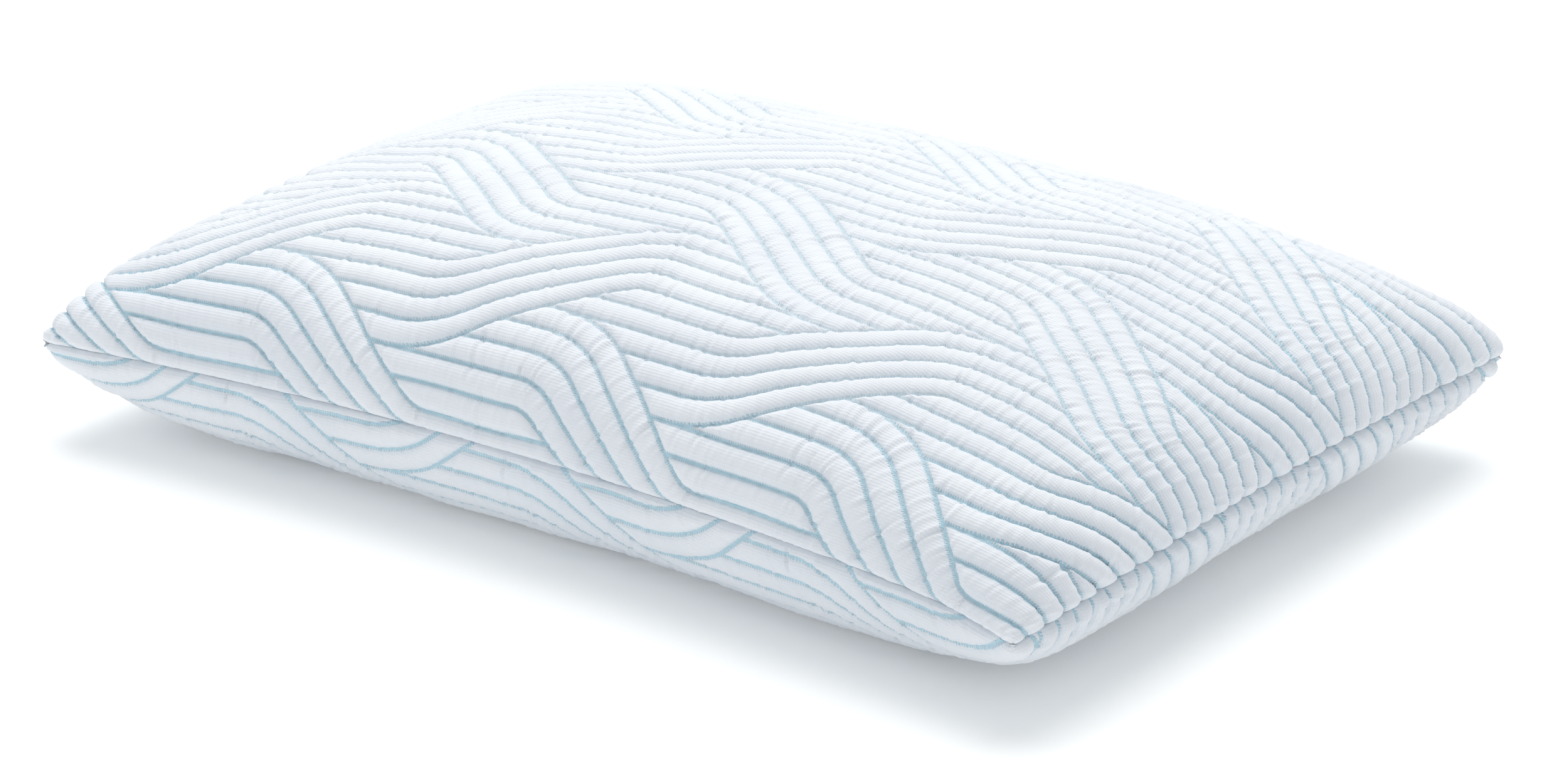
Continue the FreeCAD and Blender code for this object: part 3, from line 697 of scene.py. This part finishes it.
# -------------------------------------------------------------------- materials
class Nodes:
    """Short way to build a node material."""

    def __init__(self, name):
        self.material = bpy.data.materials.new(name)
        self.material.use_nodes = True
        self.tree = self.material.node_tree
        self.shader = self.tree.nodes["Principled BSDF"]

    def join(self, value, socket):
        """Links a node output, or sets a plain value."""
        if hasattr(value, "is_linked"):
            self.tree.links.new(value, socket)
        else:
            socket.default_value = value

    def math(self, operation, *values):
        node = self.tree.nodes.new("ShaderNodeMath")
        node.operation = operation
        for value, socket in zip(values, node.inputs):
            self.join(value, socket)
        return node.outputs[0]

    def value(self, key):
        node = self.tree.nodes.new("ShaderNodeAttribute")
        node.attribute_name = key
        return node.outputs["Fac"]

    def height(self):
        """Height above the floor at rest, in metres."""
        place = self.tree.nodes.new("ShaderNodeTexCoord")
        parts = self.tree.nodes.new("ShaderNodeSeparateXYZ")
        self.tree.links.new(place.outputs["Object"], parts.inputs[0])
        return parts.outputs["Z"]

    def ramp(self, value, low, high, out_low=0.0, out_high=1.0):
        node = self.tree.nodes.new("ShaderNodeMapRange")
        node.interpolation_type = "SMOOTHSTEP"
        for item, socket in zip((value, low, high, out_low, out_high), node.inputs):
            self.join(item, socket)
        return node.outputs[0]

    def mix(self, share, first, second):
        node = self.tree.nodes.new("ShaderNodeMix")
        node.data_type = "RGBA"
        self.join(share, node.inputs[0])
        self.join(first, node.inputs[6])
        self.join(second, node.inputs[7])
        return node.outputs[2]

    def noise(self, scale, detail=3.0, stretch=(1, 1, 1)):
        place = self.tree.nodes.new("ShaderNodeTexCoord")
        mapping = self.tree.nodes.new("ShaderNodeMapping")
        mapping.inputs["Scale"].default_value = stretch
        node = self.tree.nodes.new("ShaderNodeTexNoise")
        node.inputs["Scale"].default_value = scale
        node.inputs["Detail"].default_value = detail
        self.tree.links.new(place.outputs["Object"], mapping.inputs[0])
        self.tree.links.new(mapping.outputs[0], node.inputs["Vector"])
        return node.outputs["Fac"]

    def threads(self, axis, pitch, offset=0.0):
        """Wave from -1 to 1 along one object axis, or a mix of axes, with a pitch in millimetres."""
        place = self.tree.nodes.new("ShaderNodeTexCoord")
        dot = self.tree.nodes.new("ShaderNodeVectorMath")
        dot.operation = "DOT_PRODUCT"
        self.tree.links.new(place.outputs["Object"], dot.inputs[0])
        dot.inputs[1].default_value = axis
        turn = self.math("MULTIPLY", dot.outputs["Value"], 2 * math.pi / (pitch * MM))
        return self.math("SINE", self.math("ADD", turn, offset))

    def finish(self, colour, roughness, normal, sheen=0.0, metallic=0.0, specular=0.5):
        """Sets the surface: sheen, metal and specular are plain values on their own sockets."""
        self.join(colour, self.shader.inputs["Base Color"])
        self.join(roughness, self.shader.inputs["Roughness"])
        self.join(normal, self.shader.inputs["Normal"])
        self.shader.inputs["Sheen Weight"].default_value = sheen
        self.shader.inputs["Sheen Roughness"].default_value = 0.5
        self.shader.inputs["Metallic"].default_value = metallic
        self.shader.inputs["Specular IOR Level"].default_value = specular
        return self.material

    def bump(self, height, distance, strength=1.0, normal=None):
        node = self.tree.nodes.new("ShaderNodeBump")
        node.inputs["Distance"].default_value = distance
        node.inputs["Strength"].default_value = strength
        self.join(height, node.inputs["Height"])
        if normal is not None:
            self.join(normal, node.inputs["Normal"])
        return node.outputs[0]


def knit_material():
    """Pale quilted knit with light blue ladder stitches sunk in its grooves, painted shade beside the
    grooves, and a crown painted paler as if brighter lit.
    """
    n = Nodes("quilted_knit_cloth")
    level_gap = n.math("MULTIPLY", n.math("PINGPONG", n.math("ABSOLUTE", n.value("level")), 0.5), RIB)
    band = n.value("band")
    nearest = n.math("MINIMUM", n.math("MAXIMUM", n.math("ROUND", band), 1.0), 5.0)
    band_gap = n.math("MULTIPLY", n.math("ABSOLUTE", n.math("SUBTRACT", band, nearest)), RIB)
    inside = n.value("inside")
    in_band = n.math("GREATER_THAN", inside, 0.0)
    near_band = n.math("GREATER_THAN", inside, -BAND_MARGIN)
    level_far = n.math("ADD", level_gap, n.math("MULTIPLY", in_band, FAR))
    band_far = n.math("ADD", band_gap, n.math("MULTIPLY", n.math("SUBTRACT", 1.0, near_band), FAR))
    gap = n.math("MINIMUM", level_far, band_far)
    on_band = n.math("LESS_THAN", band_far, level_far)
    along, across = n.value("along"), n.value("across")
    band_way = n.math("MULTIPLY", n.value("run"), on_band)
    level_way = n.math("MULTIPLY", along, n.math("SUBTRACT", 1.0, on_band))
    way = n.math("ADD", band_way, level_way)
    half_rung = RUNG_PITCH / 2
    rung = n.math("MULTIPLY", n.math("PINGPONG", n.math("ABSOLUTE", way), half_rung), 1 / half_rung)
    rung = n.ramp(rung, 0.30, 0.60)
    rail = n.ramp(gap, *RAIL_HALF, 1.0, 0.0)
    ladder = n.ramp(gap, *LADDER_HALF, 1.0, 0.0)
    thread = n.math("MAXIMUM", n.math("MULTIPLY", rail, 0.8), n.math("MULTIPLY", ladder, rung))
    cloth = n.mix(n.ramp(n.noise(14.0, 4.0), 0.35, 0.65), KNIT_WHITE, KNIT_COOL)
    # Painted light: high on the cushion the stitching and the painted groove shade are weakened,
    # painting the crown paler as if brighter lit.
    top_light_paling = n.ramp(n.height(), *PAINTED_TOP_LIGHT_HEIGHTS, 1.0, PAINTED_TOP_LIGHT_LEFT)
    # Painted shade: the cloth is darkened beside each groove, most at the groove and none 4 mm from
    # its middle.
    groove_shade = n.math("MULTIPLY", n.ramp(gap, GROOVE_HALF, 4.0, 0.4, 0.0), top_light_paling)
    cloth = n.mix(groove_shade, cloth, GROOVE_SHADE_AND_LOOP_TONE)
    course = n.math("SINE", n.math("MULTIPLY", across, 2 * math.pi / KNIT_COURSE))
    wale = n.math("SINE", n.math("MULTIPLY", along, 2 * math.pi / KNIT_WALE))
    loops = n.math("ADD", n.math("MULTIPLY", course, 0.65), n.math("MULTIPLY", wale, 0.35))
    cloth = n.mix(n.ramp(loops, -0.6, 0.6, 0.14, 0.0), cloth, GROOVE_SHADE_AND_LOOP_TONE)
    colour = n.mix(n.math("MULTIPLY", thread, top_light_paling), cloth, THREAD_BLUE)
    crease = n.bump(n.noise(110.0, 3.0), 0.0004, 0.3)
    fine = n.bump(loops, 0.00015, 0.7, crease)
    stitched = n.bump(thread, 0.0004, 0.8, fine)
    rough = n.ramp(loops, -1.0, 1.0, 0.94, 0.84)
    return n.finish(colour, rough, stitched, sheen=0.14, specular=0.25)


def woven_material(name, light, dark, pitch, slant=0.0, roughness=0.75, sheen=0.2):
    """Woven cloth: crossing threads with an uneven tone."""
    n = Nodes(name)
    warp = n.threads((1, slant, slant), pitch)
    weft = n.threads((-slant, 1, 1), pitch, 1.3)
    weave = n.math("MULTIPLY", warp, weft)
    tone = n.ramp(n.noise(30.0, 4.0), 0.3, 0.7)
    colour = n.mix(tone, light, dark)
    colour = n.mix(n.ramp(weave, -0.8, 0.6, 0.35, 0.0), colour, dark)
    lumpy = n.bump(n.noise(220.0, 4.0), 0.0003, 0.4)
    normal = n.bump(weave, 0.00025, 0.8, lumpy)
    rough = n.ramp(weave, -1.0, 1.0, roughness + 0.1, roughness)
    return n.finish(colour, rough, normal, sheen, specular=0.3)


def wadding_material():
    """Matted polyester filling."""
    n = Nodes("fill_wadding")
    tone = n.ramp(n.noise(60.0, 6.0), 0.3, 0.7)
    normal = n.bump(n.noise(190.0, 8.0), 0.002, 0.7)
    colour = n.mix(tone, (0.86, 0.86, 0.84, 1), (0.78, 0.78, 0.76, 1))
    return n.finish(colour, 0.95, normal, sheen=0.3, specular=0.2)


def coil_material():
    """Satin white nylon."""
    n = Nodes("zip_nylon")
    tone = n.ramp(n.noise(90.0, 3.0), 0.3, 0.7)
    normal = n.bump(n.noise(900.0, 2.0), 0.00004, 0.5)
    colour = n.mix(tone, (0.80, 0.83, 0.86, 1), (0.74, 0.78, 0.82, 1))
    return n.finish(colour, n.ramp(n.noise(300.0), 0.3, 0.7, 0.30, 0.42), normal)


def metal_material():
    """Satin nickel with fine brushing and a little wear."""
    n = Nodes("zip_nickel")
    brushed = n.noise(400.0, 4.0, (12, 1, 1))
    wear = n.ramp(n.noise(120.0, 5.0), 0.45, 0.7)
    colour = n.mix(wear, (0.62, 0.62, 0.63, 1), (0.50, 0.50, 0.52, 1))
    normal = n.bump(brushed, 0.00005, 0.6)
    return n.finish(colour, n.ramp(brushed, 0.3, 0.7, 0.22, 0.38), normal, metallic=1.0)


def label_material():
    """Blank satin ribbon with a woven edge."""
    n = Nodes("label_satin")
    ribs = n.threads((0, 0, 1), 0.5)
    floats = n.threads((0, 1, 0.5), 0.7)
    colour = n.mix(n.ramp(n.noise(45.0, 4.0), 0.3, 0.7), (0.84, 0.84, 0.83, 1), (0.79, 0.79, 0.79, 1))
    normal = n.bump(n.math("ADD", ribs, n.math("MULTIPLY", floats, 0.5)), 0.00008, 0.7)
    return n.finish(colour, n.ramp(ribs, -1.0, 1.0, 0.48, 0.36), normal, sheen=0.1)


# ------------------------------------------------------------------------ cover
def place_piece(piece, material, slot, *nodes):
    """A new piece on the pillow that stands for CAD nodes."""
    piece.data.materials.append(material)
    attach(piece, "pillow")
    if nodes:
        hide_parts(*nodes)
    return piece


knit = knit_material()
overlock_cloth = woven_material(
    "overlock_thread", (0.84, 0.86, 0.89, 1), (0.74, 0.77, 0.82, 1), 1.2, slant=0.6, roughness=0.85,
)
thread_cloth = woven_material(
    "topstitch_thread", (0.82, 0.86, 0.90, 1), (0.70, 0.76, 0.82, 1), 0.5, slant=1.0, roughness=0.6,
)

top_panel, top_stitching = build_panel(
    "quilted_top_panel", top_form, True,
    first_level=-239.44, shift=0.0, lean=-2.8, flat_half_length=350.0,
    loft_share=1.0, gathered=0.45, seed=11,
)
bottom_panel, bottom_stitching = build_panel(
    "quilted_bottom_panel", belly_form, False,
    first_level=186.0, shift=-2.0, lean=-2.8, flat_half_length=333.0,
    loft_share=0.76, gathered=0.95, seed=23,
)
place_piece(top_panel, knit, "quilted_knit", "cover_top_panel")
place_piece(bottom_panel, knit, "quilted_knit", "cover_bottom_panel")

overlock = link_piece("seam_overlock", overlock_mesh("seam_overlock"))
place_piece(overlock, overlock_cloth, "seam_tape", "seam_allowance")
for name, line in (("topstitch_upper", top_stitching), ("topstitch_lower", bottom_stitching)):
    place_piece(link_piece(name, stitch_mesh(name, *line)), thread_cloth, "seam_tape")

# ----------------------------------------------------------------- inner pieces
jersey = woven_material(
    "case_jersey", (0.84, 0.84, 0.82, 1), (0.76, 0.76, 0.75, 1), 1.0, slant=0.4, roughness=0.85,
)
for name, form, upper, seed, node in (
    ("case_top_layer", top_form, True, 31, "inner_case_upper"),
    ("case_bottom_layer", belly_form, False, 37, "inner_case_lower"),
):
    layer = layer_mesh(name, form, CASE_OUTER, form, CASE_INNER, upper, seed)
    place_piece(link_piece(name, layer), jersey, "case_cloth", node)
filling = layer_mesh("fill_wad", top_form, FILL_INSET, belly_form, FILL_INSET, True, 41)
fill_wad = place_piece(link_piece("fill_wad", filling), wadding_material(), "fill", "fill_core")

# --------------------------------------------------------------- label and zip
label = link_piece("blank_label", label_mesh("blank_label"))
place_piece(label, label_material(), "label_cloth", "care_label")

zip_cloth = woven_material(
    "zip_tape_cloth", (0.80, 0.83, 0.87, 1), (0.70, 0.74, 0.80, 1), 0.9, slant=0.9,
)
zip_finishes = (
    (zip_cloth, ("zip_tape_upper", "zip_tape_lower")),
    (coil_material(), ("zip_coil_upper", "zip_coil_lower")),
    (metal_material(), ("zip_top_stops", "zip_bottom_stop", "zip_slider", "zip_pull_tab")),
)
for material, nodes in zip_finishes:
    for node in nodes:
        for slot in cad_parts[node].material_slots:
            slot.material = material


# ----------------------------------------------------------------- floor, light
def build_floor():
    """Wide pale floor that runs out of view."""
    mesh = bpy.data.meshes.new("studio_floor")
    corners = [(x * FLOOR_HALF, y * FLOOR_HALF, 0) for x, y in ((-1, -1), (1, -1), (1, 1), (-1, 1))]
    mesh.from_pydata(corners, [], [(0, 1, 2, 3)])
    floor = bpy.data.objects.new("studio_floor", mesh)
    bpy.context.scene.collection.objects.link(floor)
    n = Nodes("floor_white")
    colour = n.mix(n.noise(0.6), (0.94, 0.945, 0.94, 1), (0.96, 0.965, 0.96, 1))
    n.join(colour, n.shader.inputs["Base Color"])
    n.shader.inputs["Roughness"].default_value = 0.9
    n.shader.inputs["Specular IOR Level"].default_value = 0.1
    n.shader.inputs["Emission Color"].default_value = (1, 1, 1, 1)
    n.shader.inputs["Emission Strength"].default_value = FLOOR_GLOW
    floor.data.materials.append(n.material)
    floor.location.z = -FLOOR_DROP


def area_light(name, place, aim, size, power, colour):
    """Square soft light aimed at a point."""
    data = bpy.data.lights.new(name, "AREA")
    data.size = size
    data.energy = power
    data.color = colour
    light = bpy.data.objects.new(name, data)
    bpy.context.scene.collection.objects.link(light)
    light.location = place
    light.rotation_euler = (Vector(aim) - Vector(place)).to_track_quat("-Z", "Y").to_euler()


def build_light():
    """Bright even sky, a large soft light from above and slightly behind, and a weak fill."""
    world = bpy.data.worlds.new("studio_sky")
    bpy.context.scene.world = world
    world.use_nodes = True
    background = world.node_tree.nodes["Background"]
    background.inputs["Color"].default_value = (0.945, 0.972, 1.0, 1)
    background.inputs["Strength"].default_value = SKY_STRENGTH
    area_light("key_light", (-0.5, 0.9, 2.7), (0, 0, 0.1), 2.5, 65, (1.0, 0.98, 0.945))
    area_light("fill_light", (-1.5, -2.2, 0.6), (0, 0, 0.05), 1.5, 5, (1.0, 1.0, 1.0))
    bpy.context.scene.view_settings.view_transform = "Standard"


def build_camera():
    """Camera at the photograph's viewing angle."""
    azimuth = math.radians(CAMERA_AZIMUTH)
    elevation = math.radians(CAMERA_ELEVATION)
    roll = math.radians(CAMERA_ROLL)
    back = Vector((
        math.sin(azimuth) * math.cos(elevation),
        -math.cos(azimuth) * math.cos(elevation),
        math.sin(elevation),
    ))
    right = (-back).cross(Vector((0, 0, 1))).normalized()
    up = right.cross(-back)
    rolled_right = right * math.cos(roll) + up * math.sin(roll)
    rolled_up = up * math.cos(roll) - right * math.sin(roll)
    data = bpy.data.cameras.new("photo_camera")
    data.sensor_width = 36.0
    data.lens = CAMERA_LENS
    data.clip_end = 60
    camera = bpy.data.objects.new("photo_camera", data)
    bpy.context.scene.collection.objects.link(camera)
    turn = Matrix((rolled_right, rolled_up, back)).transposed().to_4x4()
    place = Vector(CAMERA_TARGET) + back * CAMERA_DISTANCE
    camera.matrix_world = Matrix.Translation(place) @ turn
    bpy.context.scene.camera = camera


build_floor()
build_light()
build_camera()
